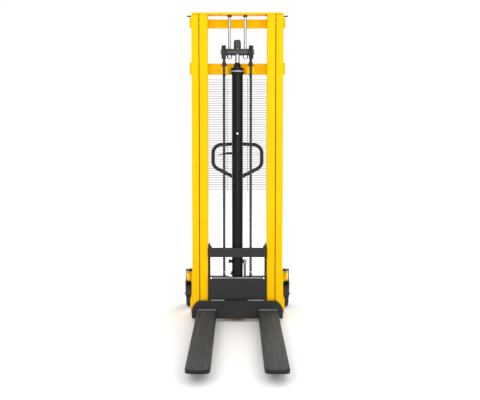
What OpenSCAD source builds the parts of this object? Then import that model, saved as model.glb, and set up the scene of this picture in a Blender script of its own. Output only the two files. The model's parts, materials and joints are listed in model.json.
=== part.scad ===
// Manual two-stage stacker truck, in millimetres.
// +Z is up, +X is to the right seen from the forks, the forks point along -Y.
// Modules measure y from the load face (y = 0 there, positive towards the operator) and
// in_place() shifts them, so that the origin is on the floor at the centre of the footprint.

/* [Forks] */
// Length of a fork from the load face to its tip
fork_length = 1150; // [1100:10:1200]
// Width over both forks
fork_overall = 550; // [540:5:560]
// Width of one fork
fork_w = 132; // [126:2:136]
// Height of the fork tops when lowered
fork_top = 85; // [85:1:90]
// Depth of the fork tip
tip_t = 21; // [18:1:26]

/* [Mast] */
// Height of the closed mast
mast_h = 2090; // [2080:5:2120]
// Width over the outer channels
mast_w = 615; // [612:1:618]
// Height of the chain pulley centres when lowered
pulley_z = 1832; // [1830:1:1840]

/* [Cylinder] */
// Outer diameter of the lift cylinder
barrel_d = 75; // [70:1:76]
// Diameter of the piston rod
rod_d = 32; // [28:1:34]
// Top of the barrel
barrel_top = 1684; // [1680:1:1686]

/* [Mesh guard] */
// Pitch of the horizontal wires
wire_pitch = 16; // [16:1:24]
// Thickness of a wire
wire_t = 3; // [2.5:0.5:4]

/* [Wheels] */
// Diameter of a caster wheel
caster_d = 180; // [170:2:180]
// Distance of a caster's swivel axis from the centre line
caster_x = 352; // [350:1:354]
// Diameter of a load roller
load_d = 74; // [70:1:74]

/* [Tiller] */
// Width of the handle ring over its tube
ring_w = 388; // [370:2:400]
// Lean of the upright tiller towards the operator
lean = 7; // [5:1:7]

/* [Hidden] */
$fn = 48;

// Colours
yellow = [0.98, 0.76, 0.04];
dark = [0.22, 0.23, 0.23];
black = [0.08, 0.08, 0.09];
steel = [0.62, 0.63, 0.65];
zinc = [0.75, 0.74, 0.70];

// Fits
run = 0.05;
gap = 0.3;

// Mast section: both stages share the middle plane mast_y
mast_y = 80;
flange = 12;
outer_depth = 100;
inner_depth = 96;
outer_x = mast_w / 2;
outer_web = outer_x - 8;
outer_tip = outer_x - 48;
inner_tip = 200;
inner_out = outer_tip - 5;
inner_web = [inner_tip + 26, inner_tip + 34];
mast_foot = 25;
inner_foot = 80;
plate_t = 12;
inner_top = mast_h - plate_t;
outer_top = inner_top - 1.5;
mast_back = mast_y + outer_depth / 2;

// Roller positions
pin_r = 15;
outer_roller_r = outer_depth / 2 - flange - gap;
inner_roller_r = inner_depth / 2 - flange - gap;
low_roller_z = 125;
high_roller_z = 505;
top_roller_z = mast_h - 65;

// Chain: centre line at chain_x, wrapped around the pulleys at chain_r
chain_x = 90;
chain_w = 16;
chain_t = 12;
chain_r = 40;
anchor_z = 1768;
clevis_z = 330;
pulley_r = 45.5;
pulley_x = [77, 107];
stub_r = 12.5;
tie_x = 53;

// Carriage
side_x = [186, 198];
face_t = 12;
frame_h = 148;

// Fork shell
shell_t = 8;
skirt_t = 6;
skirt_foot = 36;
fork_x = [fork_overall / 2 - fork_w, fork_overall / 2];
fork_mid = fork_overall / 2 - fork_w / 2;
leg_w = 92;
leg_z = [22, 72];
leg_front = -1000;
load_y = -930;

// Base
beam_x = [outer_x, outer_x + 15];
cross_y = [215, 265];
beam_top = 303;
hose_x = 51;
hose_z = 70;
hose_r = 8.5;

// Casters, and the origin: their wheels reach furthest back
caster_y = 410;
trail = 35;
axle_y = caster_y + trail;
rear_reach = axle_y + caster_d / 2;
face_y = (fork_length - rear_reach) / 2;
head_z = [198, 257];
tread_w = 46;
yoke_w = 62;

// Pump and tiller
pivot_y = 400;
pivot_z = 272;
ram_y = 440;
ram_top = 246;
ring_z = [674, 766, 924, 936];
ring_r = 13.5;
lever_z = 860;
pedal_y = axle_y + 40;
pedal_z = 184;

// ---- Helpers ----

module in_place() {
    translate([0, face_y, 0]) children();
}

// Block between limits given as [low, high]
module slab(x, y, z) {
    translate([x[0], y[0], z[0]]) cube([x[1] - x[0], y[1] - y[0], z[1] - z[0]]);
}

module rod_x(r, x, y, z) {
    translate([x[0], y, z]) rotate([0, 90, 0]) cylinder(r = r, h = x[1] - x[0]);
}

module rod_y(r, x, y, z) {
    translate([x, y[0], z]) rotate([-90, 0, 0]) cylinder(r = r, h = y[1] - y[0]);
}

module rod_z(r, x, y, z) {
    translate([x, y, z[0]]) cylinder(r = r, h = z[1] - z[0]);
}

// Outline drawn in (y, z), extruded along x
module side_profile(x, points) {
    translate([x[0], 0, 0]) rotate([90, 0, 90]) linear_extrude(height = x[1] - x[0]) polygon(points);
}

// Outline drawn in (x, z), extruded along y
module front_profile(y, points) {
    translate([0, y[1], 0]) rotate([90, 0, 0]) linear_extrude(height = y[1] - y[0]) polygon(points);
}

// Hexagon nut or head around a vertical axis, across = size over flats
module hex_z(across, x, y, z) {
    translate([x, y, z[0]]) cylinder(r = across / sqrt(3), h = z[1] - z[0], $fn = 6);
}

module hex_x(across, x, y, z) {
    translate([x[0], y, z]) rotate([0, 90, 0]) cylinder(r = across / sqrt(3), h = x[1] - x[0], $fn = 6);
}

// side = 1 is the right-hand piece, side = -1 its mirror image
module on_side(side) {
    if (side > 0) children();
    else mirror([1, 0, 0]) children();
}

module both_sides() {
    children();
    mirror([1, 0, 0]) children();
}

module roller_x(r, bore, x, y, z) {
    difference() {
        rod_x(r, x, y, z);
        rod_x(bore, [x[0] - 1, x[1] + 1], y, z);
    }
}

// Tube along a planar path in (x, z) with round corners. The straight pieces reach a little
// way over the elbows, which are a hair thinner, so that the whole ring is one solid.
tube_lap = 2;
elbow_step = 0.15;
function unit(v) = v / norm(v);
function corner_cut(a, b, c, bend) =
    bend * tan((180 - acos(unit(a - b) * unit(c - b))) / 2);

module tube_run(a, b, r) {
    d = b - a;
    translate([a[0], 0, a[1]]) rotate([0, atan2(d[0], d[1]), 0]) cylinder(r = r, h = norm(d));
}

module elbow(a, b, c, bend, r) {
    cut = corner_cut(a, b, c, bend);
    p = b + unit(a - b) * cut;
    along = unit(b - a);
    turn_sign = along[0] * (c - b)[1] - along[1] * (c - b)[0] > 0 ? 1 : -1;
    normal = turn_sign * [-along[1], along[0]];
    centre = p + normal * bend;
    turn = 180 - acos(unit(a - b) * unit(c - b));
    start = atan2(-normal[1], -normal[0]);
    translate([centre[0], 0, centre[1]]) rotate([90, 0, 0])
        rotate([0, 0, turn_sign > 0 ? start : start - turn])
            rotate_extrude(angle = turn) translate([bend, 0]) circle(r = r);
}

module closed_tube(points, bends, r) {
    n = len(points);
    for (i = [0 : n - 1]) {
        a = points[i];
        b = points[(i + 1) % n];
        c = points[(i + 2) % n];
        before = points[(i + n - 1) % n];
        cut_a = corner_cut(before, a, b, bends[i]);
        cut_b = corner_cut(a, b, c, bends[(i + 1) % n]);
        tube_run(a + unit(b - a) * (cut_a - tube_lap), b - unit(b - a) * (cut_b - tube_lap), r);
        elbow(a, b, c, bends[(i + 1) % n], r - elbow_step);
    }
}

// ---- Base ----

module side_beam() {
    side_profile(beam_x, [[40, 95], [140, mast_foot], [272, mast_foot], [272, 120], [286, head_z[0] + 2],
        [475, head_z[0] + 2], [475, head_z[1]], [335, head_z[1]], [275, beam_top], [215, beam_top],
        [165, 150], [40, 150]]);
}

module base_frame() {
    color(yellow) union() {
        both_sides() {
            side_beam();
            slab([outer_tip - 2, outer_x - 2], [30, mast_back + 8], [mast_foot - 8, mast_foot]);
            slab([outer_tip - 2, outer_x], [mast_back, cross_y[0]], [mast_foot, mast_foot + 8]);
            front_profile([262, 270], [[beam_x[1], beam_top], [caster_x - 6, beam_top],
                [caster_x - 6, 268], [beam_x[1], 190]]);
            difference() {
                union() {
                    rod_z(20, caster_x, caster_y, head_z);
                    for (z = [head_z[0] + 2, head_z[1] - 8])
                        slab([beam_x[1], caster_x], [caster_y - 30, caster_y + 30], [z, z + 8]);
                }
                rod_z(12 + run, caster_x, caster_y, [head_z[0] - 1, head_z[1] + 1]);
            }
        }
        difference() {
            slab([-outer_x, outer_x], cross_y, [mast_foot, 105]);
            slab([-outer_x - 1, outer_x + 1], [cross_y[0] + 6, cross_y[1] - 6], [mast_foot - 1, 99]);
            rod_y(hose_r + 1, hose_x, [cross_y[0] - 1, cross_y[1] + 1], hose_z);
        }
        slab([-60, 60], [35, cross_y[0]], [40, 55]);
        slab([-95, 95], [cross_y[1], 480], [mast_foot, 37]);
        both_sides() slab([85, 95], [cross_y[1], 460], [37, 60]);
    }
}

// Support leg that runs inside the fork shell and carries a load roller
module leg(side) {
    cheek = 8;
    x = [fork_mid - leg_w / 2, fork_mid + leg_w / 2];
    mid_z = (leg_z[0] + leg_z[1]) / 2;
    color(dark) on_side(side) difference() {
        union() {
            slab(x, [leg_front + 40, cross_y[0]], leg_z);
            side_profile(x, [[leg_front + 40, leg_z[0]], [leg_front, leg_z[0] + 22],
                [leg_front, leg_z[1] - 14], [leg_front + 40, leg_z[1]]]);
        }
        slab([x[0] + cheek, x[1] - cheek], [leg_front - 1, load_y + 45], [leg_z[0] - 1, leg_z[1] + 1]);
        slab([x[0] + cheek, x[1] - cheek], [load_y + 60, cross_y[0] + 1], [leg_z[0] - 1, leg_z[1] - 6]);
        rod_x(10, [x[0] - 1, x[1] + 1], load_y, load_d / 2);
    }
}

module load_roller_axles() {
    x = [fork_mid - leg_w / 2 - 2, fork_mid + leg_w / 2 + 2];
    color(steel) both_sides() rod_x(10, x, load_y, load_d / 2);
}

module load_roller(side) {
    color([0.75, 0.72, 0.62]) on_side(side)
        roller_x(load_d / 2, 10 + run, [fork_mid - 36, fork_mid + 36], load_y, load_d / 2);
}

// ---- Outer mast ----

module mast_channel(side) {
    y = [mast_y - outer_depth / 2, mast_back];
    color(yellow) on_side(side) difference() {
        slab([outer_tip, outer_x], y, [mast_foot, outer_top]);
        slab([outer_tip - 1, outer_web], [y[0] + flange, y[1] - flange], [mast_foot - 1, outer_top + 1]);
    }
}

// Back plate with ears that wrap the outer channels
module wrapped_crossmember(z) {
    slab([-outer_x - 14, outer_x + 14], [mast_back, mast_back + 10], z);
    both_sides() slab([outer_x, outer_x + 14], [58, mast_back], z);
}

module crossmember_top() {
    color(yellow) wrapped_crossmember([1997, 2058]);
}

module crossmember_upper() {
    color(yellow) difference() {
        union() {
            wrapped_crossmember([1684, 1760]);
            slab([-34, 34], [mast_back - 16, mast_back], [1684, 1697]);
        }
        rod_z(45.5, 0, mast_y, [1680, 1700]);
    }
}

module crossmember_lower() {
    color(yellow) slab([-outer_x, outer_x], [mast_back, mast_back + 10], [180, 250]);
}

module mesh_guard() {
    z = [884, 1674];
    wires = floor((z[1] - z[0] - 24) / wire_pitch);
    color(black) union() {
        both_sides() slab([outer_tip + 18, outer_tip + 34], [mast_back, mast_back + 5], z);
        for (i = [0 : wires])
            slab([-outer_tip - 26, outer_tip + 26], [mast_back + 5, mast_back + 5 + wire_t],
                [z[0] + 12 + i * wire_pitch, z[0] + 12 + wire_t + i * wire_pitch]);
        for (x = [-210, -70, 70, 210])
            slab([x - wire_t / 2, x + wire_t / 2], [mast_back + 5 + wire_t, mast_back + 5 + 2 * wire_t], z);
    }
}

// Short pegs at the heads of the outer channels, for the slings when the truck is craned
module sling_pegs() {
    z = outer_top - 5.5;
    color(black) both_sides() union() {
        rod_x(4.5, [outer_x, outer_x + 31], mast_y, z);
        rod_x(5.5, [outer_x + 27, outer_x + 31], mast_y, z);
    }
}

module top_roller_pins() {
    color(steel) both_sides() rod_x(pin_r, [inner_web[1] + 3, outer_web], mast_y, top_roller_z);
}

module outer_mast_rollers() {
    color(steel) both_sides()
        roller_x(inner_roller_r, pin_r + run, [inner_web[1] + 4, inner_out - 1], mast_y, top_roller_z);
}

// ---- Lift cylinder ----

module cylinder_barrel() {
    color(black) difference() {
        union() {
            rod_z(barrel_d / 2, 0, mast_y, [55, barrel_top]);
            rod_z(38.5, 0, mast_y, [421, 429]);
            rod_y(5, 0, [mast_y - barrel_d / 2 - 4, mast_y], 1280);
        }
        rod_z(30, 0, mast_y, [75, barrel_top + 1]);
    }
}

module cylinder_head() {
    z = barrel_top;
    color(dark) translate([0, mast_y, 0]) rotate_extrude() polygon([[rod_d / 2 + run, z],
        [45.5, z], [45.5, z + 13], [43.5, z + 13], [43.5, z + 38], [24, z + 41], [23, z + 58],
        [19, z + 73], [rod_d / 2 + run, z + 73]]);
}

// Outside ports of the barrel: an elbow on the left and a hose socket on the right
module hose_fittings() {
    color(zinc) difference() {
        union() {
            rod_x(10, [-56, -36], mast_y, 405);
            hex_x(24, [-61, -50], mast_y, 405);
            rod_x(9, [36, 60], mast_y, 405);
            rod_z(12, hose_x, mast_y, [392, 418]);
        }
        rod_z(barrel_d / 2, 0, mast_y, [380, 450]);
    }
}

// Hose from the socket down beside the barrel, under the mast and through the cross beam
module hydraulic_hose() {
    bend = 40;
    color([0.30, 0.30, 0.31]) union() {
        rod_z(hose_r, hose_x, mast_y, [hose_z + bend, 392]);
        translate([hose_x, mast_y + bend, hose_z + bend]) rotate([90, 0, 90]) rotate([0, 0, 180])
            rotate_extrude(angle = 90) translate([bend, 0]) circle(r = hose_r);
        rod_y(hose_r, hose_x, [mast_y + bend, 296], hose_z);
    }
}

// ---- Chains ----

// Blocks welded to the upper crossmember; the studs of the clevises pass through them
module chain_anchors() {
    color(yellow) both_sides() difference() {
        slab([chain_x - 29, chain_x + 29], [106, mast_back], [1686, 1738]);
        rod_z(7, chain_x, 120, [1680, 1740]);
    }
}

module chain_clevises() {
    color(black) both_sides() difference() {
        union() {
            rod_z(7, chain_x, 120, [1664, 1740]);
            hex_z(19, chain_x, 120, [1674, 1686]);
            slab([chain_x - 14, chain_x + 14], [112, 128], [1738, anchor_z]);
        }
        slab([chain_x - 9, chain_x + 9], [111, 129], [anchor_z - 12, anchor_z + 1]);
    }
}

module chain_front_runs() {
    color(steel) both_sides() slab([chain_x - chain_w / 2, chain_x + chain_w / 2],
        [mast_y - chain_r - chain_t / 2, mast_y - chain_r + chain_t / 2], [clevis_z + gap, pulley_z]);
}

module chain_back_runs() {
    color(steel) both_sides() slab([chain_x - chain_w / 2, chain_x + chain_w / 2],
        [mast_y + chain_r - chain_t / 2, mast_y + chain_r + chain_t / 2], [anchor_z - 12, pulley_z - gap]);
}

module chain_wraps() {
    x = [chain_x - chain_w / 2, chain_x + chain_w / 2];
    color(steel) both_sides() difference() {
        rod_x(chain_r + chain_t / 2, x, mast_y, pulley_z);
        rod_x(chain_r - chain_t / 2, [x[0] - 1, x[1] + 1], mast_y, pulley_z);
        slab([x[0] - 1, x[1] + 1], [0, 160], [pulley_z - 60, pulley_z]);
    }
}

module chain_pulleys() {
    groove = [chain_x - chain_w / 2 - 1, chain_x + chain_w / 2 + 1];
    color(dark) both_sides() difference() {
        union() {
            rod_x(pulley_r, [pulley_x[0], groove[0]], mast_y, pulley_z);
            rod_x(chain_r - chain_t / 2 - 2 * gap, pulley_x, mast_y, pulley_z);
            rod_x(pulley_r, [groove[1], pulley_x[1]], mast_y, pulley_z);
        }
        rod_x(stub_r + run, [pulley_x[0] - 1, pulley_x[1] + 1], mast_y, pulley_z);
    }
}

// ---- Inner mast ----

module inner_section(side) {
    y = [mast_y - inner_depth / 2, mast_y + inner_depth / 2];
    color(yellow) on_side(side) difference() {
        slab([inner_tip, inner_out], y, [inner_foot, inner_top]);
        slab([inner_tip - 1, inner_web[0]], [y[0] + flange, y[1] - flange], [inner_foot - 1, inner_top + 1]);
        slab([inner_web[1], inner_out + 1], [y[0] + flange, y[1] - flange], [inner_foot - 1, inner_top + 1]);
    }
}

module mast_top_plate() {
    color(yellow) slab([-outer_x, outer_x], [mast_y - inner_depth / 2, mast_y + inner_depth / 2],
        [inner_top, mast_h]);
}

module inner_lower_tie() {
    color(yellow) slab([-inner_tip, inner_tip], [119, 127], [85, 145]);
}

module tie_rods() {
    color(steel) both_sides() {
        rod_z(10, tie_x, mast_y, [1784, inner_top]);
        hex_z(30, tie_x, mast_y, [1790, pulley_z - 22]);
        hex_z(24, tie_x, mast_y, [inner_top - 14, inner_top]);
    }
}

module yoke() {
    color(black) difference() {
        union() {
            rod_x(23, [-76, 76], mast_y, pulley_z);
            rod_x(stub_r, [-112, 112], mast_y, pulley_z);
            both_sides() rod_x(18, [pulley_x[1] + gap, 111], mast_y, pulley_z);
        }
        rod_z(rod_d / 2, 0, mast_y, [pulley_z - 30, pulley_z + 30]);
        both_sides() rod_z(10, tie_x, mast_y, [pulley_z - 30, pulley_z + 30]);
        both_sides() slab([tie_x - 18, tie_x + 18], [50, 110], [pulley_z - 30, pulley_z - 22]);
        slab([-28, 28], [50, 110], [pulley_z + 20, pulley_z + 30]);
    }
}

module yoke_cap() {
    color(black) translate([0, mast_y, 0]) rotate_extrude() polygon([[0, 1876],
        [rod_d / 2, 1876], [rod_d / 2, pulley_z + 20], [25, pulley_z + 20], [25, 1900], [20, 1913],
        [0, 1913]]);
}

module piston_rod() {
    color(steel) union() {
        rod_z(rod_d / 2, 0, mast_y, [110, 1876]);
        rod_z(30 - run, 0, mast_y, [80, 110]);
    }
}

module inner_roller_pins() {
    color(steel) both_sides() rod_x(pin_r, [inner_web[1], outer_web - 3.5], mast_y, low_roller_z);
}

module inner_mast_rollers() {
    color(steel) both_sides()
        roller_x(outer_roller_r, pin_r + run, [outer_tip + 3.5, outer_web - 4.5], mast_y, low_roller_z);
}

// ---- Carriage ----

module carriage_plate(side) {
    color(dark) on_side(side) side_profile(side_x, [[face_t, 88], [20, 82], [105, 82], [112, 92],
        [112, 510], [100, 524], [60, 524], [30, 511], [30, 320], [20, 305], [20, 160], [face_t, 150]]);
}

module carriage_top_bar() {
    x = [-side_x[1], side_x[1]];
    color(dark) union() {
        slab(x, [14, 22], [445, 509]);
        slab(x, [22, 30], [501, 509]);
        slab(x, [22, 30], [445, 453]);
    }
}

// Front plate with its top edge rolled back into a flange; the middle leaves room for the cylinder
module apron() {
    x = [-side_x[0], side_x[0]];
    bend = 12;
    z = [152, 310];
    color(dark) difference() {
        union() {
            slab(x, [20, 28], [z[0], z[1] - bend]);
            slab(x, [20 + bend, 60], [z[1] - 8, z[1]]);
            difference() {
                rod_x(bend, x, 20 + bend, z[1] - bend);
                rod_x(bend - 8, [x[0] - 1, x[1] + 1], 20 + bend, z[1] - bend);
                slab([x[0] - 1, x[1] + 1], [20 + bend, 60], [z[1] - 40, z[1] + 1]);
                slab([x[0] - 1, x[1] + 1], [0, 60], [z[1] - 40, z[1] - bend]);
            }
        }
        slab([-60, 60], [32, 70], [z[1] - 20, z[1] + 1]);
        both_sides() rod_z(6, chain_x, mast_y - chain_r, [z[1] - 20, z[1] + 1]);
    }
}

// Upright plate across the forks, with notches where the legs pass under the fork heels
module fork_frame() {
    w = 310;
    color(dark) union() {
        difference() {
            front_profile([0, face_t], [[-w, 25], [w, 25], [w, 88], [w - 7, 108], [w - 28, 134],
                [w - 47, frame_h], [-w + 47, frame_h], [-w + 28, 134], [-w + 7, 108], [-w, 88]]);
            both_sides() slab([fork_x[0] + 12, fork_x[1] - 12], [-1, face_t + 1], [24, fork_top - shell_t]);
        }
        both_sides() slab([chain_x - 2, side_x[0] - 6], [face_t, 20], [frame_h - 12, frame_h + 12]);
    }
}

// Plan outline of a fork, shrunk by inset
module fork_plan(inset) {
    r = 44 - inset;
    x = [fork_x[0] + inset, fork_x[1] - inset];
    tip = -fork_length + inset;
    translate([x[0], tip + r]) square([x[1] - x[0], fork_length - r - inset]);
    translate([x[0] + r, tip]) square([x[1] - x[0] - 2 * r, r + 1]);
    for (cx = [x[0] + r, x[1] - r]) translate([cx, tip + r]) circle(r = r);
}

// Pressed shell: top plate and skirts over the leg, its tip tapering upwards
module fork(side) {
    toe = fork_length - 150;
    color(dark) on_side(side) difference() {
        translate([0, 0, skirt_foot]) linear_extrude(height = fork_top - skirt_foot) fork_plan(0);
        translate([0, 0, skirt_foot - 1]) linear_extrude(height = fork_top - shell_t - skirt_foot + 1)
            fork_plan(skirt_t);
        slab([fork_x[0] + skirt_t, fork_x[1] - skirt_t], [-skirt_t - 1, 1],
            [skirt_foot - 1, fork_top - shell_t]);
        side_profile([fork_x[0] - 1, fork_x[1] + 1], [[-toe, skirt_foot - 1],
            [-fork_length - 1, skirt_foot - 1], [-fork_length - 1, fork_top - tip_t]]);
    }
}

module carriage_roller_pins() {
    color(steel) both_sides() for (z = [low_roller_z, high_roller_z])
        rod_x(pin_r, [side_x[1], inner_web[0] - 0.5], mast_y, z);
}

module carriage_rollers(z) {
    color(steel) both_sides()
        roller_x(inner_roller_r, pin_r + run, [inner_tip + 3, inner_web[0] - 1.5], mast_y, z);
}

module chain_bolts() {
    color(zinc) both_sides() union() {
        rod_z(6, chain_x, mast_y - chain_r, [262, 312]);
        hex_z(16, chain_x, mast_y - chain_r, [282, 302]);
        slab([chain_x - 9, chain_x + 9], [mast_y - chain_r - 6, mast_y - chain_r + 6], [310, clevis_z]);
    }
}

// ---- Casters ----

// Flat bar bent around the front of a caster, to keep feet away from the wheel
module foot_guard(side) {
    x = [beam_x[1], beam_x[1] + 46];
    y = [240, 279];
    color(black) on_side(side) union() {
        slab([x[0] - 12, x[1]], y, [beam_top, beam_top + 9]);
        slab([x[1] - 4, x[1]], y, [118, beam_top]);
        slab(x, y, [114, 118]);
    }
}

module caster_fork(side) {
    half = yoke_w / 2;
    r = caster_d / 2;
    color(black) on_side(side) union() {
        rod_z(12, caster_x, caster_y, [196, head_z[1] + 2]);
        rod_z(18, caster_x, caster_y, [head_z[1] + gap, head_z[1] + 5]);
        rod_z(30, caster_x, caster_y, [191, head_z[0] - gap]);
        slab([caster_x - half, caster_x + half], [caster_y - 32, pedal_y - 9], [187, 191]);
        for (x = [caster_x - half, caster_x + half - 5]) {
            side_profile([x, x + 5], [[caster_y - 32, 191], [axle_y - 24, r - 8],
                [axle_y - 12, r - 20], [axle_y + 12, r - 20], [axle_y + 24, r - 8],
                [axle_y + 16, 187], [pedal_y - 9, 176], [pedal_y + 7, 176], [pedal_y + 7, 191]]);
        }
        rod_x(8, [caster_x - half - 4, caster_x + half + 2], axle_y, r);
        hex_x(19, [caster_x + half, caster_x + half + 2], axle_y, r);
        rod_x(4, [caster_x - half, caster_x + half], pedal_y, pedal_z);
    }
}

module caster_wheel(side) {
    r = caster_d / 2;
    half = tread_w / 2;
    color([0.30, 0.30, 0.31]) on_side(side) translate([caster_x, axle_y, r]) rotate([0, 90, 0])
        rotate_extrude() polygon([[8 + run, -half], [22, -half], [26, -14], [r - 24, -14],
            [r - 18, -half], [r - 4, -half], [r, 6 - half], [r, half - 6], [r - 4, half],
            [r - 18, half], [r - 24, 14], [26, 14], [22, half], [8 + run, half]]);
}

// Pedal of the wheel brake, hinged on the back of the caster fork
module brake_pedal(side) {
    x = [caster_x - 22, caster_x + 22];
    color(black) on_side(side) difference() {
        union() {
            rod_x(7, [caster_x - 25, caster_x + 25], pedal_y, pedal_z);
            side_profile(x, [[pedal_y, pedal_z - 4], [pedal_y + 22, pedal_z - 2],
                [rear_reach - 2, pedal_z + 6], [rear_reach - 2, pedal_z + 11],
                [pedal_y + 20, pedal_z + 4], [pedal_y, pedal_z + 4]]);
        }
        rod_x(4 + run, [x[0] - 9, x[1] + 9], pedal_y, pedal_z);
    }
}

// ---- Pump and tiller ----

// Pump block with the ram column and the two ears that carry the tiller
module pump_body() {
    color(black) difference() {
        union() {
            slab([-50, 70], [308, 462], [37, 92]);
            rod_z(26, 0, ram_y, [92, 206]);
            both_sides() side_profile([24, 34], [[pivot_y - 20, 92], [ram_y + 22, 92], [ram_y + 22, 180],
                [pivot_y + 16, pivot_z + 8], [pivot_y + 9, pivot_z + 16], [pivot_y - 9, pivot_z + 16],
                [pivot_y - 16, pivot_z + 8]]);
            rod_y(12, hose_x, [296, 308], hose_z);
        }
        rod_z(11 + run, 0, ram_y, [104, 207]);
        rod_x(8, [-40, 40], pivot_y, pivot_z);
    }
}

module oil_tank() {
    color(black) union() {
        rod_z(33, 0, 345, [92, 196]);
        rod_z(9, 16, 345, [196, 204]);
        hex_z(17, 16, 345, [204, 210]);
    }
}

module tiller_pin() {
    color(steel) rod_x(8, [-38, 38], pivot_y, pivot_z);
}

module pump_ram() {
    color(steel) rod_z(11, 0, ram_y, [150, ram_top]);
}

// Upright drawbar with a welded hand ring; the short arm behind the pivot presses the ram
module tiller() {
    side = ring_w / 2 - ring_r;
    ring = [[0, ring_z[0]], [side, ring_z[1]], [side, ring_z[2]], [0, ring_z[3]], [-side, ring_z[2]],
        [-side, ring_z[1]]];
    color(black) difference() {
        union() {
            rod_x(19, [-23, 23], pivot_y, pivot_z);
            side_profile([-12, 12], [[pivot_y, pivot_z - 16], [ram_y - 6, pivot_z - 20],
                [ram_y + 9, pivot_z - 20], [ram_y + 12, pivot_z - 8], [pivot_y, pivot_z + 16]]);
            translate([0, pivot_y, pivot_z]) rotate([-lean, 0, 0]) {
                rod_z(17, 0, 0, [10, ring_z[3]]);
                rod_y(5, 0, [-31, 0], lever_z);
                closed_tube(ring, [30, 60, 62, 160, 62, 60], ring_r);
            }
        }
        rod_x(8 + run, [-24, 24], pivot_y, pivot_z);
    }
}

// Finger lever in front of the drawbar that opens the lowering valve
module release_lever() {
    color(black) translate([0, pivot_y, pivot_z]) rotate([-lean, 0, 0]) difference() {
        union() {
            rod_y(11, 0, [-29, -18], lever_z);
            front_profile([-28, -20], [[0, lever_z - 9], [0, lever_z + 9], [-60, lever_z + 6],
                [-110, lever_z + 3], [-144, lever_z - 13], [-144, lever_z - 18], [-108, lever_z - 5]]);
        }
        rod_y(5 + run, 0, [-40, 0], lever_z);
    }
}

// ---- Assembly: one line per node ----

in_place() base_frame();
in_place() leg(-1);  // leg_left
in_place() leg(1);  // leg_right
in_place() mast_channel(-1);  // mast_channel_left
in_place() mast_channel(1);  // mast_channel_right
in_place() crossmember_top();
in_place() crossmember_upper();
in_place() crossmember_lower();
in_place() mesh_guard();
in_place() sling_pegs();
in_place() top_roller_pins();
in_place() cylinder_barrel();
in_place() cylinder_head();
in_place() chain_anchors();
in_place() chain_clevises();
in_place() hydraulic_hose();
in_place() hose_fittings();
in_place() pump_body();
in_place() oil_tank();
in_place() tiller_pin();
in_place() foot_guard(-1);  // foot_guard_left
in_place() foot_guard(1);  // foot_guard_right
in_place() load_roller_axles();
in_place() inner_section(-1);  // inner_section_left
in_place() inner_section(1);  // inner_section_right
in_place() mast_top_plate();
in_place() inner_lower_tie();
in_place() tie_rods();
in_place() yoke();
in_place() yoke_cap();
in_place() piston_rod();
in_place() inner_roller_pins();
in_place() chain_front_runs();
in_place() chain_back_runs();
in_place() chain_wraps();
in_place() carriage_plate(-1);  // carriage_plate_left
in_place() carriage_plate(1);  // carriage_plate_right
in_place() carriage_top_bar();
in_place() apron();
in_place() fork_frame();
in_place() fork(-1);  // fork_left
in_place() fork(1);  // fork_right
in_place() carriage_roller_pins();
in_place() chain_bolts();
in_place() carriage_rollers(high_roller_z);  // carriage_rollers_upper
in_place() carriage_rollers(low_roller_z);  // carriage_rollers_lower
in_place() inner_mast_rollers();
in_place() outer_mast_rollers();
in_place() chain_pulleys();
in_place() load_roller(-1);  // load_roller_left
in_place() load_roller(1);  // load_roller_right
in_place() caster_fork(-1);  // caster_fork_left
in_place() caster_fork(1);  // caster_fork_right
in_place() caster_wheel(-1);  // caster_wheel_left
in_place() caster_wheel(1);  // caster_wheel_right
in_place() brake_pedal(-1);  // brake_pedal_left
in_place() brake_pedal(1);  // brake_pedal_right
in_place() tiller();
in_place() release_lever();
in_place() pump_ram();
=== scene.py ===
"""Walkie stacker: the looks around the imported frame. Lengths are in metres, in the frame's axes:
+Z up, the forks point along -Y, +X to the right seen from the fork side."""
import json
import math

import bmesh
import bpy
import numpy as np
from mathutils import Matrix, Vector


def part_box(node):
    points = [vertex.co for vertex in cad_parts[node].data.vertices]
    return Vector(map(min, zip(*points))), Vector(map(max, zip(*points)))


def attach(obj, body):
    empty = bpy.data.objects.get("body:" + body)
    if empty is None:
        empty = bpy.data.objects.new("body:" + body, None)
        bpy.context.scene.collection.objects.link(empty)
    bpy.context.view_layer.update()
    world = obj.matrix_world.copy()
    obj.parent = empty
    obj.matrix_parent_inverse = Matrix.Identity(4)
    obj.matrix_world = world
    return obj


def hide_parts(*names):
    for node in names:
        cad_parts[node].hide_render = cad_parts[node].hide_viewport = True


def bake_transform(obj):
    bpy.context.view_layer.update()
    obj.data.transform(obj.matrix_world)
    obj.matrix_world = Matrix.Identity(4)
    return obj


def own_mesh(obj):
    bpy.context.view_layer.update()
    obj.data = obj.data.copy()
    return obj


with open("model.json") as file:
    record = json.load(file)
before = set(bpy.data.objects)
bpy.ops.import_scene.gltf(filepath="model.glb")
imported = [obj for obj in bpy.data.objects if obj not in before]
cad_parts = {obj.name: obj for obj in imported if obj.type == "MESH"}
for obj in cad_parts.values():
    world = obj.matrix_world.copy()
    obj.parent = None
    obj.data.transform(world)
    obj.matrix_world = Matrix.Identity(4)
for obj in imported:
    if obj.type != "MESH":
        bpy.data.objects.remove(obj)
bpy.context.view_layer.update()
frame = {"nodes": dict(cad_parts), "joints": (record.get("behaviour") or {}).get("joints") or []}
scene = bpy.context.scene

MM = 0.001
X, Y, Z = Vector((1, 0, 0)), Vector((0, 1, 0)), Vector((0, 0, 1))

# ---- Places read from the frame ----


def middle(node):
    low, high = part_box(node)
    return (low + high) / 2


MAST_Y = middle("piston_rod").y
LOAD_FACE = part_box("fork_frame")[0].y
PULLEY_Z = middle("chain_pulleys").z
POST_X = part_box("mast_channel_right")[1].x  # half the width over the outer channels
MAST_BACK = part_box("mast_channel_right")[1].y
BARREL_R = 37.5 * MM
PIVOT = middle("tiller_pin")
LEAN = math.radians(7)


def at(x, y, z):
    """A place given in millimetres, its y measured back from the load face."""
    return Vector((x * MM, LOAD_FACE + y * MM, z * MM))


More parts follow.
